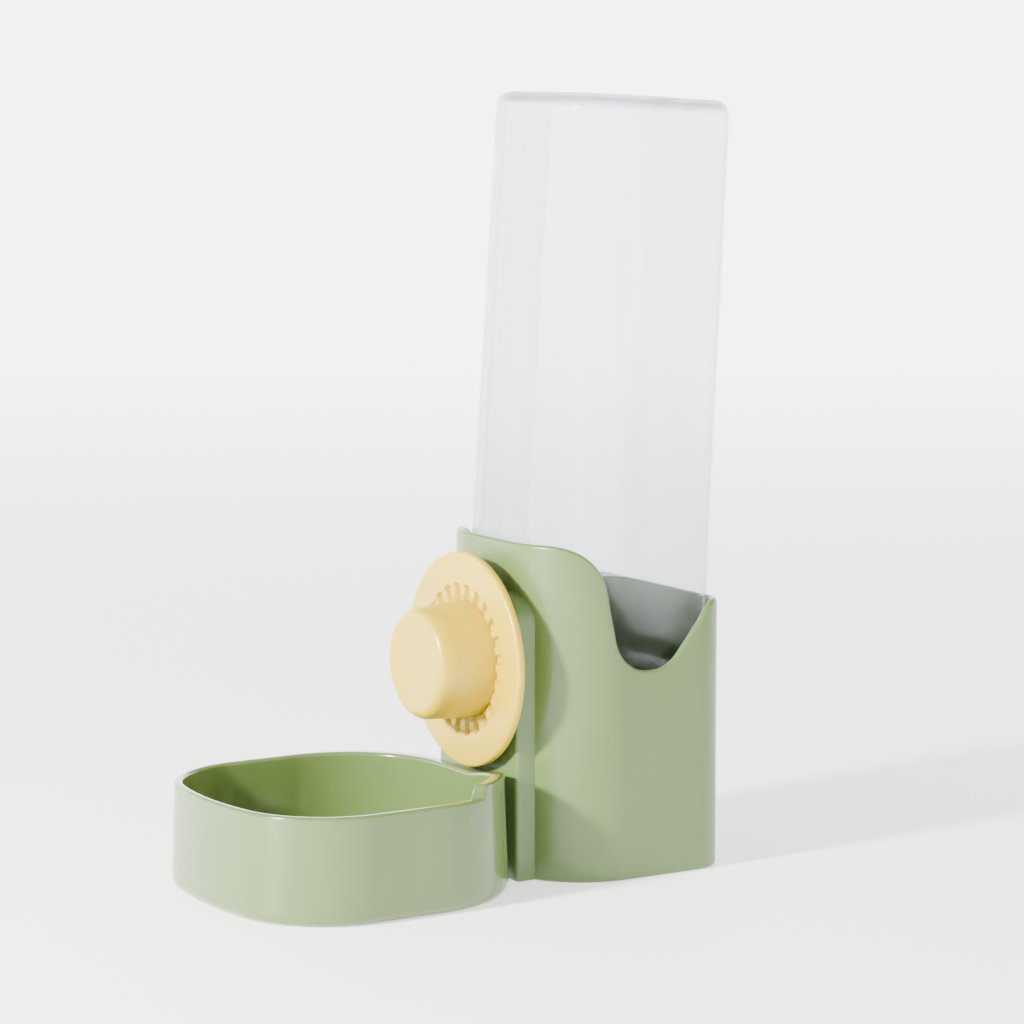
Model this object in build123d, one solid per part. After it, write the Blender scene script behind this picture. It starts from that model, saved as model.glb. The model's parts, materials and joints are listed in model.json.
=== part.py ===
"""Clip-on water dispenser for rabbits: a holder tower with a drop-in bottle, a bowl that plugs on
in front of it, and a disc and knob that clamp the cage mesh between them.

Frame, in millimetres: +X to the side, -Y from the holder to the bowl, +Z up.
The origin is the middle of the holder's footprint, on the plane that it stands on.
"""
import os
from math import cos, radians, sin

from build123d import *

# holder tower
holder_half_width = 41.0
holder_depth = 74.4  # from the panel's face to the back of the rear wall
panel_proud = 4.0
front_corner_radius = 29.0
rear_corner_radius = 12.0
holder_wall = 2.5
holder_floor = 2.6
base_edge_radius = 1.2
front_height = 112.0
rear_height = 91.0
notch_bottom_height = 69.6
crest_corner = 22.8  # corners of the rim's line, behind the panel's face, before they are rounded
notch_front_corner = 31.2
notch_rear_corner = 49.6
lip_corner = 67.0
crest_radius = 18.0
notch_radius = 13.0
lip_radius = 9.0

# raised clamp panel on the holder's front
panel_half_width = 25.0
panel_height = 96.0
panel_corner_radius = 10.0
panel_edge_radius = 1.4

# spout that joins the holder to the bowl
spout_half_width = 9.5
spout_height = 12.0
spout_wall = 2.0
spout_floor_gap = 1.6  # under the spout, above the holder's floor
spout_length = 11.0  # in front of the panel's face

# ledge ribs that carry the bottle seat
rib_width = 4.0
rib_proud = 3.5
ledge_height = 50.0

# bottle, along its own leaning axis; stations are measured up from the shoulder's centre
bottle_lean = 3.4
bottle_side_gap = 1.3  # to the holder's inner wall, as are the next two
bottle_front_gap = 0.8
bottle_rear_gap = 2.0
bottle_front_radius = 24.0
bottle_rear_radius = 8.0
bottle_draft = 0.43
bottle_wall = 1.3
bottle_top = 186.0
bottle_bottom = -10.0
bottle_top_radius = 5.0
bottle_shoulder_radius = 7.5
bottle_axis_z = 72.0
neck_radius = 19.0
neck_wall = 1.6
neck_length = 20.0
neck_bead = 1.2
neck_bead_height = 2.0

# cap and valve
cap_wall = 2.2
cap_plate = 2.5
cap_neck_clearance = 0.3
cap_skirt_gap = 3.0
cap_rib_count = 36
cap_rib_radius = 0.6
gasket_thickness = 2.0
outlet_hole_radius = 6.5
nozzle_wall = 1.8
nozzle_length = 10.5
cage_radius = 13.5
cage_wall = 2.0
cage_height = 18.5
cage_top = 2.5
cage_foot = 1.5
cage_leg_count = 3
cage_leg_width = 4.0
valve_lift = 3.0
washer_thickness = 1.5
washer_radius = 9.6
valve_head_thickness = 2.5
valve_head_radius = 9.0
guide_rod_radius = 2.5
stem_radius = 3.0
stem_past_nozzle = 2.0
stem_tip_chamfer = 0.8
stem_fin_radius = 6.2
stem_fin_width = 1.2
spring_radius = 5.2
spring_wire = 0.7
spring_turns = 5

# seat and opener inside the holder
seat_plate = 2.5
seat_skirt = 2.0
seat_clearance = 0.25
seat_bottle_gap = 0.1
cap_hole_clearance = 1.2
opener_base_radius = 10.0
opener_base_thickness = 2.0
opener_post_radius = 4.2
opener_fin_width = 2.0
opener_tip_gap = 0.1
spigot_radius = 2.6
spigot_height = 3.0

# clamp bolt, disc and knob
disc_rim_gap = 0.6  # between the disc's lowest point and the bowl's rim
bolt_radius = 4.0
bolt_head_flats = 18.0
bolt_head_thickness = 3.1
bolt_reach = 18.5  # in front of the panel's face
bolt_end_chamfer = 0.8
panel_web = 2.0  # left between the bolt head's pocket and the retainer's recess
retainer_radius = 8.0
retainer_thickness = 0.8
retainer_recess = 1.0
disc_radius = 36.0
disc_thickness = 3.0
disc_edge_radius = 1.2
disc_gap = 3.0  # space for the cage wire between panel and disc
recess_radius = 25.0
recess_depth = 2.0
disc_rib_count = 24
disc_rib_width = 1.9
disc_rib_height = 1.7
knob_base_radius = 19.6
knob_face_radius = 18.4
knob_length = 20.2
knob_wall = 2.4
knob_edge_radius = 3.0
knob_dish_depth = 0.7
knob_dish_radius = 14.0
knob_boss_radius = 8.5
insert_radius = 6.0
insert_length = 10.0
insert_setback = 1.0

# bowl
bowl_half_width = 50.2
bowl_front = 101.9  # in front of the panel's face, at the rim
bowl_corner_front = 91.8  # where the sides would meet the bowed front
bowl_corner_radius = 34.0
bowl_rear_corner_radius = 38.0
bowl_gap = 3.4  # from the panel's face to the bowl's rear wall, at the rim
bowl_rim_height = 35.2
bowl_draft = 2.0
bowl_wall = 2.4
bowl_rear_wall = 5.0
bowl_floor = 3.0
bowl_base_radius = 4.0
bowl_inner_radius = 7.0
tab_height = 4.4  # of the finger tab at one rear corner, above the rim
tab_reach = 25.0  # in front of the panel's face
tab_rise_start = 9.0  # sideways from the middle, where its top starts to climb
tab_rise_end = 34.0
seal_rear = 3.0  # in front of the panel's face

# fits
running_clearance = 0.06
loose_clearance = 0.3
seal_gap = 0.02
seal_length = 4.0
seal_width = 2.4
thrust_gap = 0.1

# places worked out from the sizes above
panel_y = -holder_depth / 2
front_y = panel_y + panel_proud
rear_y = holder_depth / 2
bottle_half_width = holder_half_width - holder_wall - bottle_side_gap
bottle_depth = holder_depth - panel_proud - 2 * holder_wall - bottle_front_gap - bottle_rear_gap
bottle_axis_y = panel_proud + holder_wall + bottle_front_gap + bottle_depth / 2
neck_bore = neck_radius - neck_wall
clamp_height = bowl_rim_height + disc_rim_gap + disc_radius
spout_middle_z = holder_floor + spout_floor_gap + spout_height / 2
cap_inner_radius = neck_radius + neck_bead + cap_neck_clearance
cap_radius = cap_inner_radius + cap_wall
neck_end = bottle_bottom - neck_length
cap_inner_face = neck_end - gasket_thickness
cap_outer_face = cap_inner_face - cap_plate
nozzle_end = cap_outer_face - nozzle_length
stem_tip = nozzle_end - stem_past_nozzle
washer_base = cap_inner_face + valve_lift
valve_head_base = washer_base + washer_thickness
valve_head_top = valve_head_base + valve_head_thickness
cage_top_underside = cap_inner_face + cage_height - cage_top
disc_rear_y = panel_y - disc_gap
disc_front_y = disc_rear_y - disc_thickness
knob_rear_y = disc_front_y + recess_depth - thrust_gap
lean_frame = Location((0, panel_y + bottle_axis_y, bottle_axis_z), (-bottle_lean, 0, 0))


def plan(half_width, near_y, far_y, near_radius, far_radius):
    """A rectangle across the middle plane with its near and far pairs of corners rounded."""
    outline = Pos(0, (near_y + far_y) / 2) * Rectangle(2 * half_width, far_y - near_y)
    outline = fillet(outline.vertices().sort_by(Axis.Y)[:2], near_radius)
    return fillet(outline.vertices().sort_by(Axis.Y)[-2:], far_radius)


def holder_plan(inset):
    """The holder's outline, moved in by inset."""
    return plan(
        holder_half_width - inset,
        front_y + inset,
        rear_y - inset,
        front_corner_radius - inset,
        rear_corner_radius - inset,
    )


def turned_to_front(shape, y, z=0.0):
    """A shape drawn on XY, turned so that its +Z points to -Y, at height z."""
    return Pos(0, y, z) * Rot(90, 0, 0) * shape


def spout_bar(growth, length, start):
    """A bar of the spout's outer section, grown all round, from start in front of the panel's face."""
    wall = spout_wall + growth
    section = SlotOverall(2 * (spout_half_width + wall), spout_height + 2 * wall)
    return turned_to_front(extrude(section, length), panel_y - start, spout_middle_z)


def rim_cutter():
    """What is cut away above the rim: level in front, a round notch, then the lower rear rim."""
    past = holder_depth + holder_wall
    rim = FilletPolyline(
        (-holder_wall, front_height),
        (crest_corner, front_height),
        (notch_front_corner, notch_bottom_height),
        (notch_rear_corner, notch_bottom_height),
        (lip_corner, rear_height),
        (past, rear_height),
        radius=[crest_radius, notch_radius, notch_radius, lip_radius],
    )
    clear = front_height + holder_depth
    outline = rim + Polyline(rim @ 1, (past, clear), (-holder_wall, clear), rim @ 0)
    side = extrude(make_face(outline), holder_half_width + holder_wall, both=True)
    return Pos(0, panel_y, 0) * Rot(0, 0, 90) * Rot(90, 0, 0) * side


def make_holder_shell():
    tower = extrude(holder_plan(0), front_height)
    panel = Pos(0, panel_height / 2) * Rectangle(2 * panel_half_width, panel_height)
    panel = fillet(panel.vertices().sort_by(Axis.Y)[-2:], panel_corner_radius)
    reach = panel_proud + 2 * holder_wall
    panel = turned_to_front(extrude(panel, reach), panel_y + reach)
    face = panel.faces().sort_by(Axis.Y)[0]
    panel = fillet(face.edges(), panel_edge_radius)
    shell = tower + panel
    shell = fillet(shell.faces().sort_by(Axis.Z)[0].edges(), base_edge_radius)
    shell -= Pos(0, 0, holder_floor) * extrude(holder_plan(holder_wall), front_height)
    shell -= rim_cutter()
    ribs_top = ledge_height - holder_floor / 2
    for side in (-1, 1):
        for y in (front_y + front_corner_radius, rear_y - rear_corner_radius - rib_width):
            x = side * (holder_half_width - (holder_wall + rib_proud) / 2)
            rib = Box(holder_wall + rib_proud, rib_width, ribs_top, align=(Align.CENTER, Align.CENTER, Align.MIN))
            shell += Pos(x, y, holder_floor / 2) * rib
    # spout and the way through it
    wall = panel_proud + holder_wall
    shell += spout_bar(0, wall + spout_length, -wall)
    shell -= spout_bar(-spout_wall, holder_depth, -wall - holder_wall)
    # bolt head's pocket inside, the retainer's recess outside and the hole between them
    pocket_y = panel_y + retainer_recess + panel_web
    pocket = RegularPolygon(bolt_head_flats / 2 + loose_clearance, 6, major_radius=False)
    depth = front_y + holder_wall - pocket_y
    shell -= turned_to_front(extrude(pocket, depth), pocket_y + depth, clamp_height)
    recess = extrude(Circle(retainer_radius + loose_clearance), retainer_recess)
    shell -= turned_to_front(recess, panel_y + retainer_recess, clamp_height)
    hole = extrude(Circle(bolt_radius + running_clearance), holder_depth / 4)
    shell -= turned_to_front(hole, pocket_y + holder_wall, clamp_height)
    shell += Pos(0, opener_y(), holder_floor / 2) * Cylinder(
        spigot_radius, spigot_height + holder_floor / 2, align=(Align.CENTER, Align.CENTER, Align.MIN))
    return shell


def opener_y():
    """The y of the valve stem's tip, where the leaning axis has come forward."""
    return panel_y + bottle_axis_y + stem_tip * sin(radians(bottle_lean))


def opener_top():
    """Just under the lowest point of the leaning stem's flat tip."""
    tip = bottle_axis_z + stem_tip * cos(radians(bottle_lean))
    return tip - stem_radius * sin(radians(bottle_lean)) - opener_tip_gap


def make_valve_opener():
    base_z = holder_floor
    base = Pos(0, opener_y(), base_z) * Cylinder(
        opener_base_radius, opener_base_thickness, align=(Align.CENTER, Align.CENTER, Align.MIN))
    height = opener_top() - base_z
    post = Cylinder(opener_post_radius, height, align=(Align.CENTER, Align.CENTER, Align.MIN))
    post += Box(2 * opener_base_radius - 2, opener_fin_width, height / 2,
                align=(Align.CENTER, Align.CENTER, Align.MIN))
    post += Box(opener_fin_width, 2 * opener_base_radius - 2, height / 2,
                align=(Align.CENTER, Align.CENTER, Align.MIN))
    opener = base + Pos(0, opener_y(), base_z) * post
    bore = Cylinder(spigot_radius + running_clearance, spigot_height + 2 * loose_clearance,
                    align=(Align.CENTER, Align.CENTER, Align.MIN))
    return opener - Pos(0, opener_y(), base_z - loose_clearance) * bore


def make_bottle_seat():
    """A drop-in tray: a plate square to the bottle's axis with a skirt that stands on the ribs."""
    gap = holder_wall + seat_clearance
    clear = bottle_axis_z
    block = Pos(0, 0, ledge_height) * extrude(holder_plan(gap), clear - ledge_height)
    hollow = Pos(0, 0, ledge_height) * extrude(holder_plan(gap + seat_skirt), clear - ledge_height)
    top = bottle_bottom - seat_bottle_gap
    big = 4 * holder_depth
    above = lean_frame * Pos(0, 0, top) * Box(big, big, big, align=(Align.CENTER, Align.CENTER, Align.MIN))
    plate_space = lean_frame * Pos(0, 0, top - seat_plate) * Box(
        big, big, big, align=(Align.CENTER, Align.CENTER, Align.MIN))
    seat = (block - above) - (hollow - plate_space)
    hole = Cylinder(cap_radius + cap_rib_radius + cap_hole_clearance, big)
    return seat - lean_frame * hole


def bottle_form(inset):
    """The bottle's body without its neck, moved in by inset on every side."""
    section = plan(
        bottle_half_width - inset,
        inset - bottle_depth / 2,
        bottle_depth / 2 - inset,
        bottle_front_radius - inset,
        bottle_rear_radius - inset,
    )
    start = bottle_bottom + inset
    body = Pos(0, 0, start) * extrude(section, bottle_top - inset - start, taper=bottle_draft)
    body = fillet(body.faces().sort_by(Axis.Z)[-1].edges(), bottle_top_radius - inset)
    return fillet(body.faces().sort_by(Axis.Z)[0].edges(), bottle_shoulder_radius - inset)


def tube(outer, inner, low, high):
    """A plain ring round the bottle's axis, between two stations."""
    ring = extrude(Circle(outer) - Circle(inner), high - low)
    return Pos(0, 0, low) * ring


def rod(radius, low, high):
    return Pos(0, 0, low) * extrude(Circle(radius), high - low)


def make_bottle():
    body = bottle_form(0)
    body += rod(neck_radius, neck_end, bottle_bottom + bottle_wall)
    body -= bottle_form(bottle_wall)
    body -= rod(neck_bore, neck_end, bottle_bottom + 2 * bottle_wall)
    for level in (0.35, 0.65):
        middle = neck_end + level * neck_length
        body += tube(neck_radius + neck_bead, neck_radius - neck_bead / 2,
                     middle - neck_bead_height / 2, middle + neck_bead_height / 2)
    return body


def make_bottle_cap():
    skirt_top = bottle_bottom - cap_skirt_gap
    cap = rod(cap_radius, cap_outer_face, skirt_top)
    cap -= rod(cap_inner_radius, cap_inner_face, skirt_top)
    cap += rod(outlet_hole_radius + nozzle_wall, nozzle_end, cap_inner_face)
    cap -= rod(outlet_hole_radius, nozzle_end, cap_inner_face)
    ribs = PolarLocations(cap_radius, cap_rib_count) * rod(cap_rib_radius, cap_outer_face + 1, skirt_top - 1)
    return cap + ribs


def make_cap_gasket():
    return tube(neck_radius, cage_radius + loose_clearance, cap_inner_face, neck_end)


def make_valve_cage():
    top = cap_inner_face + cage_height
    foot = tube(cage_radius, cage_radius - cage_wall, cap_inner_face, cap_inner_face + cage_foot)
    hub = tube(cage_radius, guide_rod_radius + running_clearance, top - cage_top, top)
    legs = PolarLocations(cage_radius - cage_wall / 2, cage_leg_count) * (
        Pos(0, 0, cap_inner_face) * Box(cage_wall, cage_leg_width, cage_height,
                                        align=(Align.CENTER, Align.CENTER, Align.MIN)))
    windows = PolarLocations(0.6 * cage_radius, cage_leg_count, start_angle=180 / cage_leg_count) * (
        rod(cage_wall, top - 2 * cage_top, top))
    cage = (foot + hub + legs) - windows
    return cage & rod(cage_radius, cap_inner_face, top)


def make_valve_stem():
    stem = rod(stem_radius, stem_tip, valve_head_base)
    stem = chamfer(stem.faces().sort_by(Axis.Z)[0].edges(), stem_tip_chamfer)
    fin_height = valve_head_base - washer_thickness - (cap_outer_face + 1)
    for angle in (0, 60, 120):
        fin = Box(2 * stem_fin_radius, stem_fin_width, fin_height, align=(Align.CENTER, Align.CENTER, Align.MIN))
        stem += Pos(0, 0, cap_outer_face + 1) * Rot(0, 0, angle) * fin
    stem += rod(valve_head_radius, valve_head_base, valve_head_top)
    stem += rod(guide_rod_radius, valve_head_top, cap_inner_face + cage_height + valve_lift / 2)
    return stem


def make_valve_washer():
    return tube(washer_radius, stem_radius, washer_base, valve_head_base)


def make_valve_spring():
    length = cage_top_underside - valve_head_top
    low = valve_head_top + spring_wire
    high = cage_top_underside - spring_wire
    path = Pos(0, 0, low) * Helix((high - low) / spring_turns, high - low, spring_radius)
    section = Plane(origin=path @ 0, z_dir=path % 0) * Circle(spring_wire / 2)
    coil = sweep(section, path, is_frenet=True)
    flat_ends = rod(2 * spring_radius, valve_head_top, valve_head_top + length)
    return coil & flat_ends


def make_clamp_bolt():
    head_y = panel_y + retainer_recess + panel_web
    head = extrude(RegularPolygon(bolt_head_flats / 2, 6, major_radius=False), bolt_head_thickness)
    shank = extrude(Circle(bolt_radius), head_y - panel_y + bolt_reach)
    shank = chamfer(shank.faces().sort_by(Axis.Z)[-1].edges(), bolt_end_chamfer)
    bolt = Pos(0, 0, -bolt_head_thickness) * head + shank
    return turned_to_front(bolt, head_y, clamp_height)


def make_bolt_retainer():
    ring = extrude(Circle(retainer_radius) - Circle(bolt_radius), retainer_thickness)
    return turned_to_front(ring, panel_y + retainer_recess, clamp_height)


def make_clamp_disc():
    disc = extrude(Circle(disc_radius), disc_thickness)
    disc = fillet(disc.edges().filter_by(GeomType.CIRCLE), disc_edge_radius)
    floor = disc_thickness - recess_depth
    disc -= Pos(0, 0, floor) * extrude(Circle(recess_radius), recess_depth)
    rib_start = knob_base_radius + loose_clearance
    rib_length = recess_radius + disc_rib_width / 2 - rib_start
    rib = Pos(0, 0, floor / 2) * Box(rib_length, disc_rib_width, floor / 2 + disc_rib_height,
                                     align=(Align.CENTER, Align.CENTER, Align.MIN))
    disc += PolarLocations(rib_start + rib_length / 2, disc_rib_count) * rib
    disc -= extrude(Circle(bolt_radius + loose_clearance), disc_thickness)
    return turned_to_front(disc, disc_rear_y, clamp_height)


def make_knob():
    """A cup with its mouth on the disc, a dished face, and a boss inside for the insert."""
    draft_ratio = (knob_base_radius - knob_face_radius) / knob_length
    wall_top_radius = knob_base_radius - knob_wall - draft_ratio * (knob_length - knob_wall)
    half = Polyline((0, 0), (knob_base_radius, 0), (knob_face_radius, knob_length), (0, knob_length), (0, 0))
    cup = revolve(Plane.XZ * make_face(half), Axis.Z)
    cup = fillet(cup.faces().sort_by(Axis.Z)[-1].edges(), knob_edge_radius)
    hollow = Polyline((0, 0), (knob_base_radius - knob_wall, 0), (wall_top_radius, knob_length - knob_wall),
                      (0, knob_length - knob_wall), (0, 0))
    cup -= revolve(Plane.XZ * make_face(hollow), Axis.Z)
    cup += extrude(Circle(knob_boss_radius), knob_length - knob_wall / 2)
    bore = extrude(Circle(insert_radius), insert_setback + insert_length)
    clear_bore = extrude(Circle(bolt_radius + loose_clearance), knob_length - knob_wall)
    cup -= bore + clear_bore
    dish_sphere = (knob_dish_radius**2 + knob_dish_depth**2) / (2 * knob_dish_depth)
    cup -= Pos(0, 0, knob_length - knob_dish_depth + dish_sphere) * Sphere(dish_sphere)
    return turned_to_front(cup, knob_rear_y, clamp_height)


def make_knob_insert():
    ring = extrude(Circle(insert_radius) - Circle(bolt_radius + running_clearance), insert_length)
    return turned_to_front(ring, knob_rear_y - insert_setback, clamp_height)


def bowl_plan(inset, rear_inset):
    """The bowl's rim outline: straight sides and rear, a bowed front and four wide corners."""
    half_width = bowl_half_width - inset
    rear = panel_y - bowl_gap - rear_inset
    corner = panel_y - bowl_corner_front + inset
    nose = panel_y - bowl_front + inset
    front = ThreePointArc((-half_width, corner), (0, nose), (half_width, corner))
    rest = Polyline((half_width, corner), (half_width, rear), (-half_width, rear), (-half_width, corner))
    outline = make_face(front + rest)
    outline = fillet(outline.vertices().sort_by(Axis.Y)[:2], bowl_corner_radius - inset)
    return fillet(outline.vertices().sort_by(Axis.Y)[-2:], bowl_rear_corner_radius - inset)


def make_bowl():
    tab_top = bowl_rim_height + tab_height
    outer = Pos(0, 0, tab_top) * extrude(bowl_plan(0, 0), -tab_top, taper=-bowl_draft)
    outer = fillet(outer.faces().sort_by(Axis.Z)[0].edges(), bowl_base_radius)
    inner_plan = bowl_plan(bowl_wall, bowl_rear_wall)
    inner = Pos(0, 0, tab_top) * extrude(inner_plan, bowl_floor - tab_top, taper=bowl_draft)
    inner = fillet(inner.faces().sort_by(Axis.Z)[0].edges(), bowl_inner_radius)
    bowl = outer - inner
    far = 2 * bowl_half_width
    above_rim = Pos(0, panel_y, bowl_rim_height) * Box(
        2 * far, 4 * far, tab_top, align=(Align.CENTER, Align.CENTER, Align.MIN))
    tab_side = Polyline(
        (tab_rise_start, bowl_rim_height),
        (far, bowl_rim_height),
        (far, tab_top),
        (tab_rise_end, tab_top),
        (tab_rise_start, bowl_rim_height),
    )
    tab_space = Pos(0, panel_y, 0) * extrude(Plane.XZ * make_face(tab_side), tab_reach)
    bowl -= above_rim - tab_space
    bowl -= spout_bar(loose_clearance, spout_length, bowl_gap / 2)
    return bowl - spout_bar(seal_width, seal_rear + seal_length - bowl_gap / 2, bowl_gap / 2)


def make_spout_seal():
    seal = spout_bar(seal_width, seal_length, seal_rear)
    return seal - spout_bar(seal_gap, 3 * seal_length, seal_rear - seal_length)


upright = {
    "holder_shell": make_holder_shell,
    "bottle_seat": make_bottle_seat,
    "valve_opener": make_valve_opener,
    "clamp_bolt": make_clamp_bolt,
    "bolt_retainer": make_bolt_retainer,
    "clamp_disc": make_clamp_disc,
    "knob": make_knob,
    "knob_insert": make_knob_insert,
    "bowl": make_bowl,
    "spout_seal": make_spout_seal,
}
leaning = {
    "bottle": make_bottle,
    "bottle_cap": make_bottle_cap,
    "cap_gasket": make_cap_gasket,
    "valve_cage": make_valve_cage,
    "valve_stem": make_valve_stem,
    "valve_washer": make_valve_washer,
    "valve_spring": make_valve_spring,
}

os.makedirs("parts", exist_ok=True)
for name, make in upright.items():
    export_step(make(), f"parts/{name}.step")
for name, make in leaning.items():
    export_step(lean_frame * make(), f"parts/{name}.step")
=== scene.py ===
import json
from math import atan2, cos, radians, sin, tan
import bmesh
import bpy
import numpy as np
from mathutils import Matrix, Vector


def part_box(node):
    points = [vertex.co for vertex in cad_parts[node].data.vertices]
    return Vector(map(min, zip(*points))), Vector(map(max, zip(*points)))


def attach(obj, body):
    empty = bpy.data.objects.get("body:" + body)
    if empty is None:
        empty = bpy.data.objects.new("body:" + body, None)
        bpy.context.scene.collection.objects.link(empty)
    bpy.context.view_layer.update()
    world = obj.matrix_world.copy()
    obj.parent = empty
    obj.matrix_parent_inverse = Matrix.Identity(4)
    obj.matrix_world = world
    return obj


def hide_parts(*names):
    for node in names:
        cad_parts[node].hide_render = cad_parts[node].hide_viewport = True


# Clip-on water dispenser: holder tower, leaning bottle, plug-on bowl, clamp disc and knob.
# Lengths are in metres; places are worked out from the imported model's boxes.

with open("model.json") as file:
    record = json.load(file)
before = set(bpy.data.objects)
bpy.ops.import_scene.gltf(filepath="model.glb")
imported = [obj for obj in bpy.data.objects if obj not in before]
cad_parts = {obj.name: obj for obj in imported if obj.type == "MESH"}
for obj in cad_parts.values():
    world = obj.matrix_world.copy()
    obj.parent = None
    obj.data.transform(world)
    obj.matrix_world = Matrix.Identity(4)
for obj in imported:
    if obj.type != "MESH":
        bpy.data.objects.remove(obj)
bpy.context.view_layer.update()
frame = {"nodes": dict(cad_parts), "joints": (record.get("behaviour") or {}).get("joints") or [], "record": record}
mm = 0.001
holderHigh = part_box("holder_shell")[1]
discLow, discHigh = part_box("clamp_disc")
knobLow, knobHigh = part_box("knob")
panelY = frame["record"]["mounts"][1]["pos_m"][1]  # the clamp panel's face
clampZ = (discLow.z + discHigh.z) / 2  # height of the clamp bolt
leanAxis = np.array([j for j in frame["joints"] if j["name"] == "bottle_lift"][0]["axis"])


def gridObject(name, rows, sharpAngle=35):
    # Rows of points, one ring after another. Each point joins its neighbour round the ring and
    # the one above it; a ring whose points coincide becomes a pole.
    rows = np.asarray(rows, dtype=float)
    count, around = rows.shape[:2]
    i, j = np.meshgrid(np.arange(count - 1), np.arange(around), indexing="ij")
    nextJ = (j + 1) % around
    faces = np.stack([i * around + j, i * around + nextJ, (i + 1) * around + nextJ, (i + 1) * around + j], -1)
    mesh = bpy.data.meshes.new(name)
    mesh.from_pydata(rows.reshape(-1, 3), [], faces.reshape(-1, 4))
    # weld the poles, drop the faces that collapsed there and turn every face outwards
    work = bmesh.new()
    work.from_mesh(mesh)
    bmesh.ops.remove_doubles(work, verts=work.verts, dist=2e-7)
    bmesh.ops.dissolve_degenerate(work, edges=work.edges, dist=1e-8)
    bmesh.ops.recalc_face_normals(work, faces=work.faces)
    work.to_mesh(mesh)
    work.free()
    mesh.shade_smooth()
    mesh.set_sharp_from_angle(angle=radians(sharpAngle))
    piece = bpy.data.objects.new(name, mesh)
    bpy.context.scene.collection.objects.link(piece)
    return piece


def ring(points, z):
    # Plan points lifted to a height, which may be one number or one for each point.
    return np.column_stack([points, np.broadcast_to(z, len(points))])


def arcPoints(centre, radius, start, end, count):
    # Points at centre + radius (cos a, sin a), with a running evenly from start to end.
    a = np.linspace(radians(start), radians(end), count)
    return np.column_stack([centre[0] + radius * np.cos(a), centre[1] + radius * np.sin(a)])


def roundedPlan(half, nearY, farY, nearRadius, farRadius, counts):
    # Half outline from the near middle to the far middle on the +X side, then mirrored: straight,
    # a quarter turn, straight, a quarter turn, straight. The counts are points in each stretch.
    flat, nearArc, side, farArc, back = counts
    parts = [
        np.column_stack([np.linspace(0, half - nearRadius, flat, endpoint=False), np.full(flat, nearY)]),
        arcPoints((half - nearRadius, nearY + nearRadius), nearRadius, -90, 0, nearArc)[:-1],
        np.column_stack([np.full(side, half),
                         np.linspace(nearY + nearRadius, farY - farRadius, side, endpoint=False)]),
        arcPoints((half - farRadius, farY - farRadius), farRadius, 0, 90, farArc)[:-1],
        np.column_stack([np.linspace(half - farRadius, 0, back), np.full(back, farY)]),
    ]
    right = np.concatenate(parts)
    left = right[-2:0:-1] * [-1, 1]
    return np.concatenate([right, left])


def outwardNormals(points):
    # The plan tangent from neighbouring points, turned a quarter turn to point outwards.
    tangent = np.roll(points, -1, 0) - np.roll(points, 1, 0)
    tangent /= np.linalg.norm(tangent, axis=1)[:, None]
    return np.column_stack([tangent[:, 1], -tangent[:, 0]])


def filletedLine(corners, radii, count=14):
    # A line through corners, each rounded by an arc tangent to both its runs.
    corners = [np.array(c, float) for c in corners]
    line = [corners[0]]
    for before, corner, after, radius in zip(corners, corners[1:], corners[2:], radii):
        back, on = before - corner, after - corner
        back, on = back / np.linalg.norm(back), on / np.linalg.norm(on)
        half = np.arccos(np.clip(back @ on, -1, 1)) / 2
        centre = corner + (back + on) / np.linalg.norm(back + on) * radius / sin(half)
        first, last = corner + back * radius / tan(half), corner + on * radius / tan(half)
        a0, a1 = atan2(*(first - centre)[::-1]), atan2(*(last - centre)[::-1])
        turn = (a1 - a0 + np.pi) % (2 * np.pi) - np.pi
        a = a0 + turn * np.linspace(0, 1, count)
        line += list(np.column_stack([centre[0] + radius * np.cos(a), centre[1] + radius * np.sin(a)]))
    return np.array(line + [corners[-1]])


def quarter(radius, count=7):
    # Inset and depth along a quarter round: r (1 - cos a) inwards and r (1 - sin a) down.
    a = np.linspace(0, np.pi / 2, count)
    return list(zip(radius * (1 - np.cos(a)), radius * (1 - np.sin(a))))


def revolved(name, profile, centre, outward, around=160, sharpAngle=35):
    # A profile of (radius, distance) pairs turned round an axis that starts at centre and runs
    # along outward: point = centre + outward d + (sideways cos a + upwards sin a) r.
    outward = np.array(outward, float)
    sideways = np.cross([0, 0, 1] if abs(outward[2]) < 0.9 else [0, 1, 0], outward)
    sideways /= np.linalg.norm(sideways)
    upwards = np.cross(outward, sideways)
    a = np.linspace(0, 2 * np.pi, around, endpoint=False)
    spoke = np.cos(a)[:, None] * sideways + np.sin(a)[:, None] * upwards
    profile = np.asarray(profile, float)
    rows = np.array(centre) + profile[:, 1, None, None] * outward + profile[:, 0, None, None] * spoke
    return gridObject(name, rows, sharpAngle=sharpAngle)


def bar(name, outline, nearY, farY):
    # A closed bar along Y: one end's middle, its outline, the other outline, the other middle.
    middle = (outline.max(0) + outline.min(0)) / 2
    ends = [np.tile(middle, (len(outline), 1)), outline, outline, np.tile(middle, (len(outline), 1))]
    rows = [np.column_stack([p[:, 0], np.full(len(p), y), p[:, 1]])
            for p, y in zip(ends, (nearY, nearY, farY, farY))]
    return gridObject(name, rows)


def slotOutline(halfWidth, halfHeight, middleZ):
    return roundedPlan(halfWidth, middleZ - halfHeight, middleZ + halfHeight, halfHeight, halfHeight,
                       (6, 16, 1, 16, 6))


def boolean(piece, cutters):
    # Cuts closed pieces out of another.
    for cutter in cutters:
        step = piece.modifiers.new("cut", "BOOLEAN")
        step.operation = "DIFFERENCE"
        step.solver = "EXACT"
        step.object = cutter
    bpy.context.view_layer.update()
    mesh = bpy.data.meshes.new_from_object(piece.evaluated_get(bpy.context.evaluated_depsgraph_get()))
    piece.modifiers.clear()
    piece.data = mesh
    for cutter in cutters:
        bpy.data.objects.remove(cutter)
    mesh.shade_smooth()
    mesh.set_sharp_from_angle(angle=radians(35))
    return piece


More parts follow.
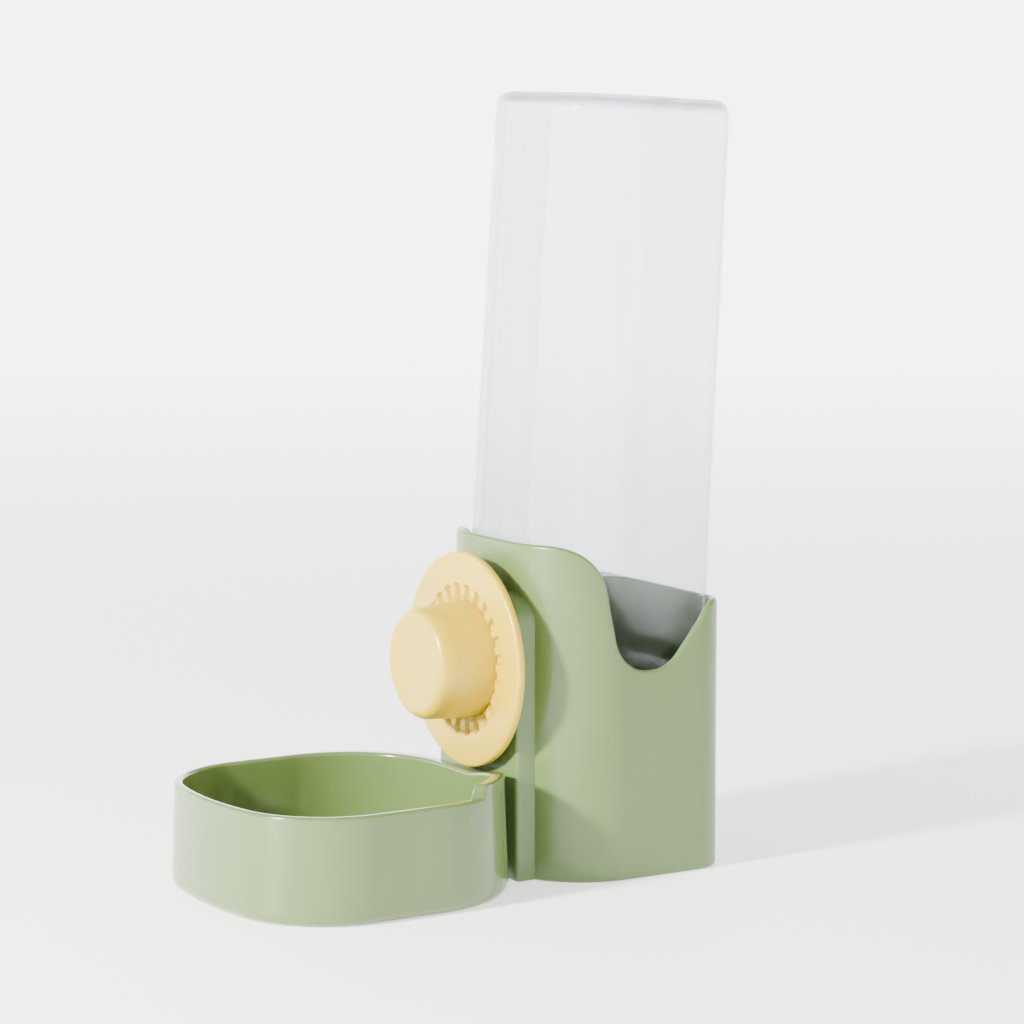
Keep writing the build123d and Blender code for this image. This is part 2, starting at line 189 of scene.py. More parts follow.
def place(piece, body, material, node):
    piece.data.materials.clear()
    piece.data.materials.append(material)
    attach(piece, body)
    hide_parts(node)


class Wire:
    # A shader value; sums and products of wires and numbers add their Math nodes.

    def __init__(self, kit, socket):
        self.kit = kit
        self.socket = socket

    def maths(self, operation, *values):
        return self.kit.node("ShaderNodeMath", {"operation": operation}, dict(enumerate(values)))

    def __add__(self, other):
        return self.maths("ADD", self, other)

    def __mul__(self, other):
        return self.maths("MULTIPLY", self, other)

    __radd__ = __add__
    __rmul__ = __mul__


class Kit:
    # A material's node tree and the few calls that fill it.

    def __init__(self, name):
        self.material = bpy.data.materials.new(name)
        self.material.use_nodes = True
        self.tree = self.material.node_tree
        self.shader = self.tree.nodes["Principled BSDF"]

    def node(self, kind, settings=None, inputs=None, output=0):
        made = self.tree.nodes.new(kind)
        for key, value in (settings or {}).items():
            setattr(made, key, value)
        for key, value in (inputs or {}).items():
            self.feed(made.inputs[key], value)
        return Wire(self, made.outputs[output])

    def feed(self, socket, value):
        if isinstance(value, Wire):
            self.tree.links.new(value.socket, socket)
        else:
            socket.default_value = value

    def set(self, **values):
        for key, value in values.items():
            self.feed(self.shader.inputs[key.replace("_", " ")], value)

    def coordinates(self, centre=(0, 0, 0), turn=(0, 0, 0), stretch=(1, 1, 1)):
        # Object coordinates moved so that centre is the origin, then turned and stretched
        objectSpace = self.node("ShaderNodeTexCoord", output="Object")
        shifted = self.node("ShaderNodeMapping", {"vector_type": "POINT"},
                            {"Vector": objectSpace, "Location": tuple(-c for c in centre)})
        return self.node("ShaderNodeMapping", {"vector_type": "POINT"},
                         {"Vector": shifted, "Rotation": turn, "Scale": stretch})

    def noise(self, where, scale, detail):
        return self.node("ShaderNodeTexNoise", {"noise_dimensions": "3D"},
                         {"Vector": where, "Scale": scale, "Detail": detail})

    def spread(self, value, low, high, outLow=0.0, outHigh=1.0):
        return self.node("ShaderNodeMapRange", {"clamp": True, "interpolation_type": "SMOOTHSTEP"},
                         {0: value, 1: low, 2: high, 3: outLow, 4: outHigh})

    def blend(self, factor, first, second):
        # sockets 0, 6 and 7 are the factor and the two colours; output 2 is the mixed colour
        return self.node("ShaderNodeMix", {"data_type": "RGBA"}, {0: factor, 6: first, 7: second}, output=2)

    def along(self, where, direction):
        # how far a point lies along a direction
        return self.node("ShaderNodeVectorMath", {"operation": "DOT_PRODUCT"}, {0: where, 1: direction}, output=1)

    def bump(self, height, strength, distance, after=None):
        inputs = {"Height": height, "Strength": strength, "Distance": distance}
        if after is not None:
            inputs["Normal"] = after
        return self.node("ShaderNodeBump", {}, inputs)


def mouldedPlastic(name, look):
    # Injection-moulded plastic: faint flow clouding in the colour, uneven gloss, a fine satin grain
    # and a few hairline scuffs.
    kit = Kit(name)
    where = kit.coordinates()
    cloud = kit.noise(where, 22.0, 2.0)
    flow = kit.noise(kit.coordinates(stretch=(1, 1, 0.18)), 70.0, 3.0)
    colour = kit.blend(kit.spread(cloud, 0.3, 0.7), look["colour"], look["clouded"])
    colour = kit.blend(kit.spread(flow, 0.45, 0.75, 0.0, 0.35), colour, look["pale"])
    grain = kit.noise(where, look["grain"], 2.0)
    scuff = kit.noise(kit.coordinates(turn=(0.4, 0.3, 0.9), stretch=(1, 14, 1)), 55.0, 4.0)
    scuffed = kit.spread(scuff, 0.62, 0.74)
    roughness = look["roughness"] + cloud * 0.05 + scuffed * look["scuff"]
    orangePeel = kit.bump(kit.noise(where, 160.0, 1.0), 0.10, 0.0004)
    normal = kit.bump(grain, look["grainStrength"], 0.0001, orangePeel)
    kit.set(Base_Color=colour, Roughness=roughness, Normal=normal, IOR=1.49,
            Coat_Weight=look["coat"], Coat_Roughness=0.12,
            Subsurface_Weight=look["glow"], Subsurface_Radius=(0.004, 0.004, 0.003), Subsurface_Scale=0.5)
    return kit.material


greenLook = {
    "colour": (0.098, 0.155, 0.044, 1), "clouded": (0.092, 0.147, 0.041, 1), "pale": (0.108, 0.168, 0.053, 1),
    "roughness": 0.30, "scuff": 0.06, "grain": 2600.0, "grainStrength": 0.10, "glow": 0.06, "coat": 0.1,
}
bowlLook = dict(greenLook, roughness=0.16, grainStrength=0.03, coat=0.25)
yellowLook = {
    "colour": (0.550, 0.378, 0.003, 1), "clouded": (0.530, 0.362, 0.002, 1), "pale": (0.580, 0.404, 0.008, 1),
    "roughness": 0.32, "scuff": 0.05, "grain": 2600.0, "grainStrength": 0.08, "glow": 0.10, "coat": 0.1,
}
naturalLook = {
    "colour": (0.80, 0.81, 0.78, 1), "clouded": (0.77, 0.78, 0.75, 1), "pale": (0.86, 0.87, 0.84, 1),
    "roughness": 0.38, "scuff": 0.05, "grain": 2200.0, "grainStrength": 0.12, "glow": 0.20, "coat": 0.0,
}


clearLook = {
    # the end tint and its start and full heights are painted shade: a darker tint drawn over the bottle's closed end
    "band": (0.70, 0.715, 0.77, 1), "tint": (0.80, 0.81, 0.85, 1), "endTint": (0.30, 0.32, 0.37, 1),
    "shoulder": (0, panelY + 38.6 * mm, 72 * mm), "endStart": 181.5 * mm, "endFull": 184.5 * mm,
    "roughness": 0.03, "cloudedRoughness": 0.04, "rippleHeight": 0.8 * mm,
}


def clearPlastic(name, look):
    # Clear bottle plastic: slightly grey, with faint upright flow bands, uneven gloss and a painted shade over its
    # closed end.
    kit = Kit(name)
    bands = kit.noise(kit.coordinates(stretch=(1, 1, 0.02)), 75.0, 3.0)
    cloud = kit.noise(kit.coordinates(), 18.0, 2.0)
    tint = kit.blend(kit.spread(bands, 0.4, 0.65), look["band"], look["tint"])
    # painted shade: the closed end is drawn in a darker tint, shade painted into the colour; its height is measured
    # along the lean
    height = kit.along(kit.coordinates(look["shoulder"]), tuple(leanAxis))
    tint = kit.blend(kit.spread(height, look["endStart"], look["endFull"]), tint, look["endTint"])
    ripple = kit.bump(kit.noise(kit.coordinates(stretch=(1, 1, 0.15)), 48.0, 2.0), 0.25, look["rippleHeight"])
    kit.set(Base_Color=tint, Roughness=look["roughness"] + cloud * look["cloudedRoughness"], Normal=ripple,
            IOR=1.20, Transmission_Weight=1.0, Alpha=0.6)
    return kit.material


def metal(name, colour, roughness, brushed=(1, 1, 1)):
    # Turned or drawn metal: fine lines along the work and small dull spots.
    kit = Kit(name)
    lines = kit.noise(kit.coordinates(stretch=brushed), 900.0, 2.0)
    spots = kit.noise(kit.coordinates(), 120.0, 3.0)
    dull = tuple(0.82 * c for c in colour[:3]) + (1,)
    kit.set(Base_Color=kit.blend(kit.spread(spots, 0.5, 0.7), colour, dull), Metallic=1.0,
            Roughness=roughness + lines * 0.12, Normal=kit.bump(lines, 0.15, 0.0001))
    return kit.material


def silicone(name):
    # Soft translucent rubber with a dusty bloom.
    kit = Kit(name)
    bloom = kit.noise(kit.coordinates(), 240.0, 4.0)
    colour = kit.blend(kit.spread(bloom, 0.4, 0.7), (0.66, 0.68, 0.67, 1), (0.76, 0.78, 0.77, 1))
    kit.set(Base_Color=colour, Roughness=0.5 + bloom * 0.15, Normal=kit.bump(bloom, 0.2, 0.0001),
            Subsurface_Weight=0.3, Subsurface_Radius=(0.003, 0.003, 0.003), Subsurface_Scale=0.5)
    return kit.material


print("materials")
green = mouldedPlastic("sagePlastic", greenLook)
bowlGreen = mouldedPlastic("bowlPlastic", bowlLook)
yellow = mouldedPlastic("butterPlastic", yellowLook)
natural = mouldedPlastic("naturalPlastic", naturalLook)
clear = clearPlastic("clearBottlePlastic", clearLook)
steel = metal("zincSteel", (0.60, 0.61, 0.64, 1), 0.28, (1, 0.1, 1))
wireSteel = metal("springWire", (0.68, 0.69, 0.71, 1), 0.18)
brass = metal("insertBrass", (0.78, 0.58, 0.27, 1), 0.25, (1, 0.1, 1))
rubber = silicone("siliconeRubber")

for nodes, material in (
    (("bottle_seat", "valve_opener"), green),
    (("bottle_cap", "valve_cage", "valve_stem"), natural),
    (("clamp_bolt", "bolt_retainer"), steel),
    (("valve_spring",), wireSteel),
    (("knob_insert",), brass),
    (("spout_seal", "cap_gasket", "valve_washer"), rubber),
):
    for node in nodes:
        slots = frame["nodes"][node].data.materials
        slots.clear()
        slots.append(material)


holder = {
    "half": holderHigh.x, "frontY": panelY + 4 * mm, "rearY": holderHigh.y,
    "frontRadius": 29 * mm, "rearRadius": 12 * mm,
    "wall": 2.5 * mm, "floor": 2.6 * mm, "base": 1.2 * mm, "foot": 1.5 * mm, "round": 1.1 * mm, "samples": 420,
    # the rim seen from the side: distance behind the panel's face, height; corners before rounding
    "rim": ((-9, 112), (22.8, 112), (31.2, 69.6), (49.6, 69.6), (67, 91), (95, 91)), "rimRadii": (18, 13, 13, 9),
    "panelHalf": 25 * mm, "panelHeight": 96 * mm, "panelCorner": 10 * mm, "panelEdge": 1.4 * mm,
    "spoutHalf": 11.5 * mm, "spoutHigh": 8 * mm, "spoutWall": 2 * mm, "spoutZ": 10.2 * mm, "spoutOut": 11 * mm,
    "boltHole": 4.06 * mm, "headFlats": 9.3 * mm, "recess": 8.3 * mm, "recessDepth": 1.0 * mm,
}


def holderCup(h):
    # The tower as one closed skin. Its plan is a rounded rectangle; its rim height follows a
    # filleted line from front to rear. Near the rim, points move down along the wall's own normal
    # to the rim, so the rounding stays even where the rim runs steeply.
    plan = roundedPlan(h["half"], h["frontY"], h["rearY"], h["frontRadius"], h["rearRadius"],
                       (200, 600, 600, 300, 300))
    normals = outwardNormals(plan)
    count = len(plan) // 2 + 1
    plan, normals = plan[:count], normals[:count]
    normals[0], normals[-1] = (0, -1), (0, 1)
    along = np.concatenate([[0], np.cumsum(np.linalg.norm(np.diff(plan, axis=0), axis=1))])
    line = filletedLine(h["rim"], h["rimRadii"], 60) * mm

    def rimAt(s):
        return np.interp(np.interp(s, along, plan[:, 1]) - panelY, line[:, 0], line[:, 1])

    fine = np.linspace(0, along[-1], 9000)
    step = np.hypot(np.diff(fine), np.diff(rimAt(fine)))
    length = np.concatenate([[0], np.cumsum(step)])
    s = np.interp(np.linspace(0, length[-1], h["samples"]), length, fine)
    high = rimAt(s)
    gap = 0.15 * mm
    slope = (rimAt(s + gap) - rimAt(s - gap)) / (2 * gap)
    steep = np.sqrt(1 + slope ** 2)

    def level(inset, depth=None, z=None, part=1.0):
        # depth is measured down from the rim; part is how much of the sideways shift is taken
        shift = slope / steep * (depth if depth is not None else h["round"]) * part
        t = np.clip(s + shift, 0, along[-1])
        height = high - depth / steep if z is None else z
        x = np.interp(t, along, plan[:, 0]) - np.interp(t, along, normals[:, 0]) * inset
        y = np.interp(t, along, plan[:, 1]) - np.interp(t, along, normals[:, 1]) * inset
        right = np.column_stack([x, y, np.broadcast_to(height, len(s))])
        return np.concatenate([right, right[-2:0:-1] * [-1, 1, 1]])

    rows = [np.tile([0, 0, 0], (2 * len(s) - 2, 1)), level(6 * mm, z=0, part=0)]
    rows += [level(i, z=d, part=0) for i, d in quarter(h["base"])[::-1]]
    for part in np.linspace(0.1, 1, 8):
        rows.append(level(0, z=h["base"] + (high - h["round"] / steep - h["base"]) * part, part=part))
    rows += [level(i, d) for i, d in quarter(h["round"])[1:]]
    rows += [level(h["wall"] - i, d) for i, d in quarter(h["round"])[::-1]]
    foot = h["floor"] + h["foot"]
    for part in np.linspace(0.9, 0, 8):
        rows.append(level(h["wall"], z=foot + (high - h["round"] / steep - foot) * part, part=part))
    rows += [level(h["wall"] + i, z=h["floor"] + d, part=0) for i, d in quarter(h["foot"])[1:]]
    rows += [level(8 * mm, z=h["floor"], part=0), np.tile([0, 0, h["floor"]], (2 * len(s) - 2, 1))]
    return gridObject("holderTower", rows)


def holderPanel(h):
    # The raised clamp panel: a slab with a rounded front edge whose back follows the tower.
    outline = roundedPlan(h["panelHalf"], 0, h["panelHeight"], h["base"], h["panelCorner"], (12, 6, 60, 24, 12))
    inwards = -outwardNormals(outline)
    x = np.abs(outline[:, 0])
    bend = np.clip(x - (h["half"] - h["frontRadius"]), 0, None)
    back = h["frontY"] + h["frontRadius"] - np.sqrt(h["frontRadius"] ** 2 - bend ** 2) + 1.1 * mm
    middle = outline * 0 + [0, h["panelHeight"] / 2]

    def upright(points, y):
        return np.column_stack([points[:, 0], np.broadcast_to(y, len(points)), points[:, 1]])

    rows = [upright(middle, panelY)]
    rows += [upright(outline + inwards * i, panelY + d) for i, d in quarter(h["panelEdge"])[::-1]]
    rows += [upright(outline, back), upright(middle, back.min())]
    return gridObject("holderPanel", rows)


def holderSpout(h):
    # The slot-shaped tube that carries the water: out along its outside, back along its bore.
    tip = panelY - h["spoutOut"]
    root = panelY + 5.2 * mm
    edge = 0.5 * mm
    stations = [(0, root), (0, panelY - 1 * mm)] + [(i, tip + d) for i, d in quarter(edge)]
    stations += [(h["spoutWall"] - i, tip + d) for i, d in quarter(edge)[::-1]] + [(h["spoutWall"], root), (0, root)]
    rows = []
    for inset, y in stations:
        outline = slotOutline(h["spoutHalf"] - inset, h["spoutHigh"] - inset, h["spoutZ"])
        rows.append(np.column_stack([outline[:, 0], np.full(len(outline), y), outline[:, 1]]))
    return gridObject("holderSpout", rows)


def rod(name, radius, nearY, farY, sides=64, turn=0.0):
    a = np.linspace(0, 2 * np.pi, sides, endpoint=False) + turn
    return bar(name, np.column_stack([radius * np.cos(a), clampZ + radius * np.sin(a)]), nearY, farY)


print("holder")
bore = slotOutline(holder["spoutHalf"] - holder["spoutWall"], holder["spoutHigh"] - holder["spoutWall"],
                   holder["spoutZ"])
hexRadius = holder["headFlats"] / cos(radians(30))
cutStart, pocketStart, cutEnd = (panelY + d * mm for d in (-1, 3, 9))  # before the panel, in it, past the wall
tower = boolean(holderCup(holder), [
    bar("cut1", bore, cutStart, cutEnd),
    rod("cut2", hexRadius, pocketStart, cutEnd, 6, radians(90)),
])
panel = boolean(holderPanel(holder), [
    bar("cut1", bore, cutStart, cutEnd),
    rod("cut2", holder["recess"], cutStart, panelY + holder["recessDepth"]),
    rod("cut3", holder["boltHole"], cutStart, cutEnd),
    rod("cut4", hexRadius, pocketStart, cutEnd, 6, radians(90)),
])
spout = holderSpout(holder)
for piece in (tower, panel, spout):
    place(piece, "holder", green, "holder_shell")


bowl = {
    "half": 50.2 * mm, "nose": 101.9 * mm, "corner": 91.8 * mm, "gap": 3.4 * mm,
    "frontRadius": 34 * mm, "rearRadius": 38 * mm,
    "rim": 35.2 * mm, "draft": radians(2.0), "wall": 2.4 * mm, "rearWall": 5 * mm, "floor": 3 * mm,
    "base": 4 * mm, "foot": 7 * mm, "round": 1.05 * mm,
    # the finger tab: height above the rim, where its top climbs, reach from the panel, its front end's run
    "tab": 4.4 * mm, "tabStart": 9 * mm, "tabEnd": 34 * mm,
    "tabReach": 25 * mm, "tabLead": 1.2 * mm, "tabEase": 2.6 * mm,
    # the socket in the rear wall: the seal's pocket, and the way through round the spout
    "sealHalf": 13.88 * mm, "sealHigh": 10.38 * mm, "sealDepth": 7 * mm,
    "wayClearance": 0.3 * mm, "wayDepth": 12.7 * mm,
}


def bowlPlan(b, inset=0.0, rearInset=0.0):
    # Half outline from the nose to the rear middle, mirrored: a wide arc across the front, a
    # quarter turn, a straight side, a quarter turn and a straight rear.
    half, nose, corner = b["half"] - inset, panelY - b["nose"] + inset, panelY - b["corner"] + inset
    rear = panelY - b["gap"] - rearInset
    near, far = b["frontRadius"] - inset, b["rearRadius"] - inset
    bow = (half ** 2 + (corner - nose) ** 2) / (2 * (corner - nose))  # the front arc's radius
    middleX = half - near
    middleY = nose + bow - np.sqrt((bow - near) ** 2 - middleX ** 2)
    lean = np.degrees(np.arctan2(middleX, nose + bow - middleY))
    right = np.concatenate([
        arcPoints((0, nose + bow), bow, -90, -90 + lean, 40)[:-1],
        arcPoints((middleX, middleY), near, -90 + lean, 0, 60)[:-1],
        np.column_stack([np.full(40, half), np.linspace(middleY, rear - far, 41)[:-1]]),
        arcPoints((half - far, rear - far), far, 0, 90, 110)[:-1],
        np.column_stack([np.linspace(half - far, 0, 30), np.full(30, rear)]),
    ])
    return np.concatenate([right, right[-2:0:-1] * [-1, 1]])


def bowlCup(b):
    # The bowl as one closed skin between an outer and an inner outline, both leaning with the
    # draft: point = outline + normal (top - z) tan(draft). The rim climbs into a finger tab.
    outer, inner = bowlPlan(b), bowlPlan(b, b["wall"], b["rearWall"])
    outward = outwardNormals(outer)
    top = b["rim"] + b["tab"]
    spread = tan(b["draft"])
    climb = np.clip((outer[:, 0] - b["tabStart"]) / (b["tabEnd"] - b["tabStart"]), 0, 1)
    behind = np.clip((b["tabReach"] + b["tabLead"] - (panelY - outer[:, 1])) / b["tabEase"], 0, 1)
    high = b["rim"] + b["tab"] * climb * behind * behind * (3 - 2 * behind)

    def outerAt(z, inset=0.0):
        return np.column_stack([outer + outward * ((top - z) * spread - inset)[:, None], z])

    def innerAt(z, inset=0.0):
        return np.column_stack([inner - outward * ((top - z) * spread + inset)[:, None], z])

    flat = np.ones(len(outer))
    rows = [np.tile([0, panelY - b["nose"] / 2, 0], (len(outer), 1)), outerAt(0 * flat, 12 * mm)]
    rows += [outerAt(d * flat, i) for i, d in quarter(b["base"], 10)[::-1]]
    rows += [outerAt(b["base"] + (high - b["round"] - b["base"]) * part) for part in np.linspace(0.15, 1, 6)]
    edge = outerAt(high - b["round"])[:, :2]
    far = innerAt(high - b["round"])[:, :2]
    width = np.linalg.norm(far - edge, axis=1)[:, None]
    over = (far - edge) / width
    rows += [np.column_stack([edge + over * i, high - d]) for i, d in quarter(b["round"])[1:]]
    rows += [np.column_stack([far - over * i, high - d]) for i, d in quarter(b["round"])[::-1]]
    foot = b["floor"] + b["foot"]
    rows += [innerAt(foot + (high - b["round"] - foot) * part) for part in np.linspace(0.9, 0, 7)]
    rows += [innerAt((b["floor"] + d) * flat, i) for i, d in quarter(b["foot"], 12)[1:]]
    rows += [innerAt(b["floor"] * flat, 14 * mm), np.tile([0, panelY - b["nose"] / 2, b["floor"]], (len(outer), 1))]
    return gridObject("bowlCup", rows)


print("bowl")
passage = slotOutline(holder["spoutHalf"] + bowl["wayClearance"], holder["spoutHigh"] + bowl["wayClearance"],
                      holder["spoutZ"])
pocket = slotOutline(bowl["sealHalf"], bowl["sealHigh"], holder["spoutZ"])
bowlPiece = boolean(bowlCup(bowl), [
    bar("cut1", passage, panelY - bowl["wayDepth"], cutStart),
    bar("cut2", pocket, panelY - bowl["sealDepth"], cutStart),
])
place(bowlPiece, "bowl", bowlGreen, "bowl")


bottle = {
    "half": 37.2 * mm, "depth": 62.6 * mm, "frontRadius": 24 * mm, "rearRadius": 8 * mm, "draft": radians(0.43),
    "wall": 1.3 * mm, "top": 186 * mm, "bottom": -10 * mm, "topRadius": 5 * mm, "shoulder": 7.5 * mm,
    "neck": 19 * mm, "neckBore": 17.4 * mm, "neckLength": 20 * mm, "dip": 1.4 * mm,
    "middleY": panelY + 38.6 * mm, "middleZ": 72 * mm, "counts": (14, 30, 36, 16, 20),
}


def bottleSkin(b):
    # The bottle as one closed skin in its own leaning frame: out over the closed end, down the
    # drafted wall, round the shoulder, down the neck and back up inside, one wall further in.
    base = roundedPlan(b["half"], -b["depth"] / 2, b["depth"] / 2, b["frontRadius"], b["rearRadius"], b["counts"])
    outward = outwardNormals(base)
    a = np.arctan2(base[:, 1], base[:, 0])
    spoke = np.column_stack([np.cos(a), np.sin(a)])

    def body(inset, w):
        return ring(base - outward * (inset + (w - b["bottom"]) * tan(b["draft"])), w)

    def neck(radius, w):
        return ring(spoke * radius, w)

    def skin(inset):
        # from the middle of the closed end to the neck
        low, high = b["bottom"] + inset, b["top"] - inset
        topRadius, shoulder = b["topRadius"] - inset, b["shoulder"] - inset
        neckRadius = b["neckBore"] if inset else b["neck"]
        rows = []
        outermost = body(inset + topRadius, high)
        for t in np.linspace(0, 1, 14):
            row = outermost * [t, t, 1]
            rising = np.clip((t - 0.45) / 0.35, 0, 1)
            row[:, 2] = high - b["dip"] * (1 - rising * rising * (3 - 2 * rising))
            rows.append(row)
        rows += [body(inset + i, high - d) for i, d in quarter(topRadius, 9)[::-1]][1:]
        rows += [body(inset, w) for w in np.linspace(high - topRadius, low + shoulder, 12)[1:-1]]
        rows += [body(inset + i, low + d) for i, d in quarter(shoulder, 9)]
        edge = rows[-1][:, :2]
        fillet = 2.2 * mm - inset / 2
        inside = spoke * (neckRadius + fillet)
        rows += [ring(edge + (inside - edge) * t, low) for t in (0.35, 0.7, 1.0)]
        rows += [neck(neckRadius + fillet * (1 - np.sin(q)), low - fillet * (1 - np.cos(q)))
                 for q in np.linspace(0, np.pi / 2, 6)[1:]]
        return rows

    end = b["bottom"] - b["neckLength"]
    outside, inside = skin(0.0), skin(b["wall"])
    beads = []
    for level in (0.65, 0.35):
        middle = end + level * b["neckLength"]
        beads += [neck(b["neck"], middle + 1.2 * mm), neck(b["neck"] + 1.1 * mm, middle + 0.5 * mm),
                  neck(b["neck"] + 1.1 * mm, middle - 0.5 * mm), neck(b["neck"], middle - 1.2 * mm)]
    lip = [neck(b["neck"], end + 0.3 * mm), neck(b["neck"] - 0.3 * mm, end), neck(b["neckBore"] + 0.3 * mm, end),
           neck(b["neckBore"], end + 0.3 * mm)]
    rows = np.array(outside + beads + lip + inside[::-1])
    # lean the upright rows: v and w turn about the side-to-side axis through the shoulder's middle
    up = leanAxis[1:] / np.linalg.norm(leanAxis[1:])
    x, v, w = rows[..., 0], rows[..., 1], rows[..., 2]
    leaned = np.stack([x, b["middleY"] + v * up[1] + w * up[0], b["middleZ"] - v * up[0] + w * up[1]], -1)
    return gridObject("bottleSkin", leaned)


print("bottle")
place(bottleSkin(bottle), "bottle", clear, "bottle")


disc = {
    "radius": 36 * mm, "edge": 1.2 * mm, "recess": 25 * mm, "recessDepth": 2 * mm,
    "ribs": 24, "ribHeight": 1.7 * mm, "scallop": 0.9 * mm, "hole": 4.3 * mm, "perRib": 18,
    # radii of the rings on the face and on the hollow's floor, and where the ribs fade out
    "faceRings": (32, 29, 27), "floorRings": (24.6, 23.6, 22.4, 21.2, 20.0), "ribStart": 19.7, "ribFade": 1.2,
}


def discSkin(d):
    # The disc about its bolt. Round the knob it is hollowed. A clipped cosine, one wave for each rib,
    # raises the ribs from the hollow's floor with sloping flanks and scallops the hollow's edge.
    around = d["ribs"] * d["perRib"]
    a = np.linspace(0, 2 * np.pi, around, endpoint=False)
    phase = np.cos(d["ribs"] * a)
    rib = np.clip(phase * 1.8 + 0.8, 0, 1)
    rib = rib * rib * (3 - 2 * rib)
    rim = d["recess"] + d["scallop"] * (0.5 - rib)
    front, rear = discLow.y, discHigh.y

    def at(radius, y):
        radius, y = np.broadcast_to(radius, around), np.broadcast_to(y, around)
        return np.column_stack([radius * np.cos(a), y, clampZ + radius * np.sin(a)])

    rows = [at(d["hole"], rear), at(d["radius"] - d["edge"], rear)]
    rows += [at(d["radius"] - i, rear - e) for i, e in quarter(d["edge"], 8)[::-1]][1:]
    rows += [at(d["radius"] - i, front + e) for i, e in quarter(d["edge"], 8)]
    rows += [at(r * mm, front) for r in d["faceRings"]]
    rows += [at(rim + 0.45 * mm, front), at(rim + 0.15 * mm, front + 0.08 * mm), at(rim, front + 0.35 * mm)]
    floor = front + d["recessDepth"]
    for r in d["floorRings"]:
        fade = np.clip((r - d["ribStart"]) / d["ribFade"], 0, 1)
        rows.append(at(np.minimum(r * mm, rim - 0.05 * mm), floor - rib * d["ribHeight"] * fade))
    rows += [at((d["ribStart"] - 0.1) * mm, floor), at(d["hole"], floor), at(d["hole"], rear)]
    return gridObject("discSkin", rows, sharpAngle=50)


knob = {
    "baseRadius": 19.6 * mm, "faceRadius": 18.4 * mm, "wall": 2.4 * mm, "edge": 3 * mm, "dish": 0.7 * mm,
    "dishRadius": 14 * mm, "boss": 8.5 * mm, "insert": 6 * mm, "insertDepth": 11 * mm, "bolt": 4.3 * mm,
}


def knobSkin(k, length):
    # The knob turned about the bolt's axis: bore, boss, hollow, flared side, rounded edge and a
    # face that dips towards its middle inside a faint moulded ring.
    slope = (k["baseRadius"] - k["faceRadius"]) / length
    inner = length - k["wall"]
    profile = [(0, inner), (k["bolt"], inner), (k["bolt"], k["insertDepth"]), (k["insert"], k["insertDepth"]),
               (k["insert"], 0), (k["boss"], 0), (k["boss"], inner),
               (k["baseRadius"] - k["wall"] - slope * inner, inner), (k["baseRadius"] - k["wall"], 0.3 * mm),
               (k["baseRadius"] - k["wall"] + 0.3 * mm, 0), (k["baseRadius"] - 0.35 * mm, 0)]
    profile += [(k["baseRadius"] - 0.1 * mm, 0.1 * mm), (k["baseRadius"] - 0.02 * mm, 0.4 * mm)]
    profile += [(k["baseRadius"] - slope * d, d) for d in np.linspace(2 * mm, length - k["edge"], 6)]
    profile += [(k["faceRadius"] - i, length - d) for i, d in quarter(k["edge"], 12)][1:]
    groove = k["dishRadius"]
    profile += [(groove + 0.5 * mm, length), (groove + 0.15 * mm, length - 0.08 * mm),
                (groove - 0.2 * mm, length - 0.1 * mm)]
    profile += [(groove * t, length - 0.1 * mm - (k["dish"] - 0.1 * mm) * (1 - t * t))
                for t in np.linspace(0.94, 0, 10)]
    return revolved("knobSkin", profile, (0, knobHigh.y, clampZ), (0, -1, 0), around=192)


print("disc and knob")
place(discSkin(disc), "disc", yellow, "clamp_disc")
place(knobSkin(knob, knobHigh.y - knobLow.y), "knob", yellow, "knob")


view = {
    "azimuth": 58.3, "elevation": 7.4, "distance": 1.2, "lens": 126.5, "sensor": 36,
    "aim": (0, panelY + 13.7 * mm, 119.8 * mm),
}


def makeCamera(view):
    a, e = radians(view["azimuth"]), radians(view["elevation"])
    back = Vector((sin(a) * cos(e), -cos(a) * cos(e), sin(e)))
    data = bpy.data.cameras.new("camera")
    data.lens = view["lens"]
    data.sensor_width = view["sensor"]
    camera = bpy.data.objects.new("camera", data)
    bpy.context.scene.collection.objects.link(camera)
    camera.location = Vector(view["aim"]) + back * view["distance"]
    camera.rotation_euler = back.to_track_quat("Z", "Y").to_euler()
    bpy.context.scene.camera = camera


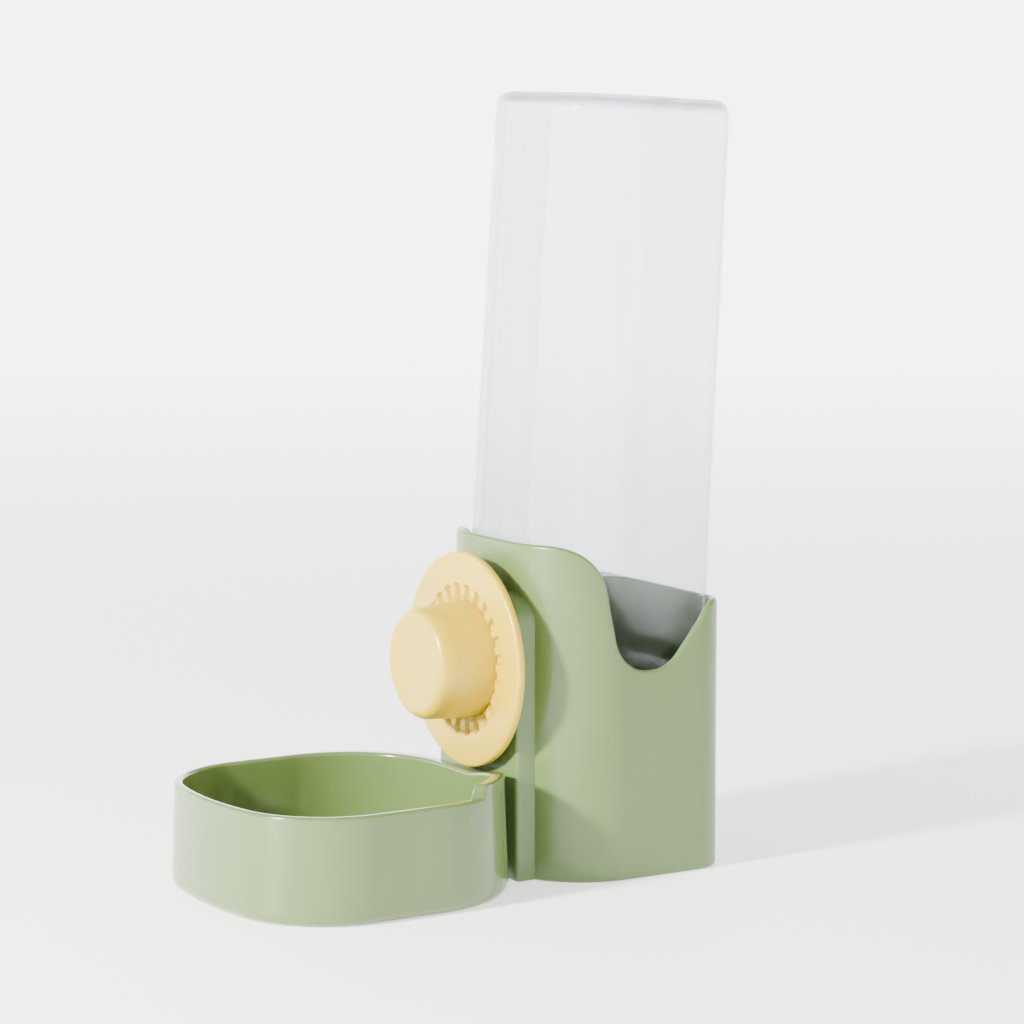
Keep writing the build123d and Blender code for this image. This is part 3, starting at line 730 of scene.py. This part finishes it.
studio = {
    "flat": 2.1, "edge": 3.2, "lift": 1.3, "floorColour": (0.95, 0.95, 0.945, 1), "floorGlow": 4.0,
    "nearGlow": (0.30, 0.30, 0.30, 1), "farGlow": (1.0, 1.0, 1.0, 1),
    "brightSide": (-0.8508, 0.5255, 0), "glowStart": 0.1, "glowFull": 2.4,
    "sky": (1.0, 1.0, 1.0, 1), "skyStrength": 0.85,
}
lamps = (
    # name, place, aimed at, width, power in watts, colour
    ("key", (0.14, -1.25, 0.59), (0, -0.04, 0.08), 0.14, 78.0, (1.0, 0.985, 0.95)),
    ("left", (-0.9, -0.9, 0.5), (0, 0, 0.10), 0.9, 4.0, (1.0, 1.0, 1.0)),
)


def makeStudio():
    # level out to the flat radius, then rising as the square of the distance beyond it
    radius = np.concatenate([np.linspace(0, studio["flat"], 8), np.linspace(studio["flat"], studio["edge"], 24)[1:]])
    rise = studio["lift"] * np.clip((radius - studio["flat"]) / (studio["edge"] - studio["flat"]), 0, 1) ** 2
    a = np.linspace(0, 2 * np.pi, 96, endpoint=False)
    rows = np.stack([radius[:, None] * np.cos(a), radius[:, None] * np.sin(a), np.repeat(rise[:, None], 96, 1)], -1)
    floor = gridObject("floor", rows)
    kit = Kit("paleFloor")
    mottle = kit.noise(kit.coordinates(), 6.0, 3.0)
    shade = tuple(0.985 * c for c in studio["floorColour"][:3]) + (1,)
    # the floor glows more towards the bright side of the studio, from glowStart to glowFull
    towards = kit.along(kit.coordinates(), studio["brightSide"])
    brightness = kit.spread(towards, studio["glowStart"], studio["glowFull"])
    glow = kit.blend(brightness, studio["nearGlow"], studio["farGlow"])
    kit.set(Base_Color=kit.blend(mottle, studio["floorColour"], shade), Roughness=0.6,
            Emission_Color=glow, Emission_Strength=studio["floorGlow"])
    floor.data.materials.append(kit.material)
    world = bpy.data.worlds.new("studio")
    bpy.context.scene.world = world
    world.use_nodes = True
    sky = world.node_tree.nodes["Background"]
    sky.inputs["Color"].default_value = studio["sky"]
    sky.inputs["Strength"].default_value = studio["skyStrength"]
    for name, spot, aim, width, power, colour in lamps:
        data = bpy.data.lights.new(name, "AREA")
        data.size = width
        data.energy = power
        data.color = colour
        lamp = bpy.data.objects.new(name, data)
        lamp.location = spot
        lamp.rotation_euler = (Vector(spot) - Vector(aim)).to_track_quat("Z", "Y").to_euler()
        bpy.context.scene.collection.objects.link(lamp)


print("studio")
makeCamera(view)
makeStudio()
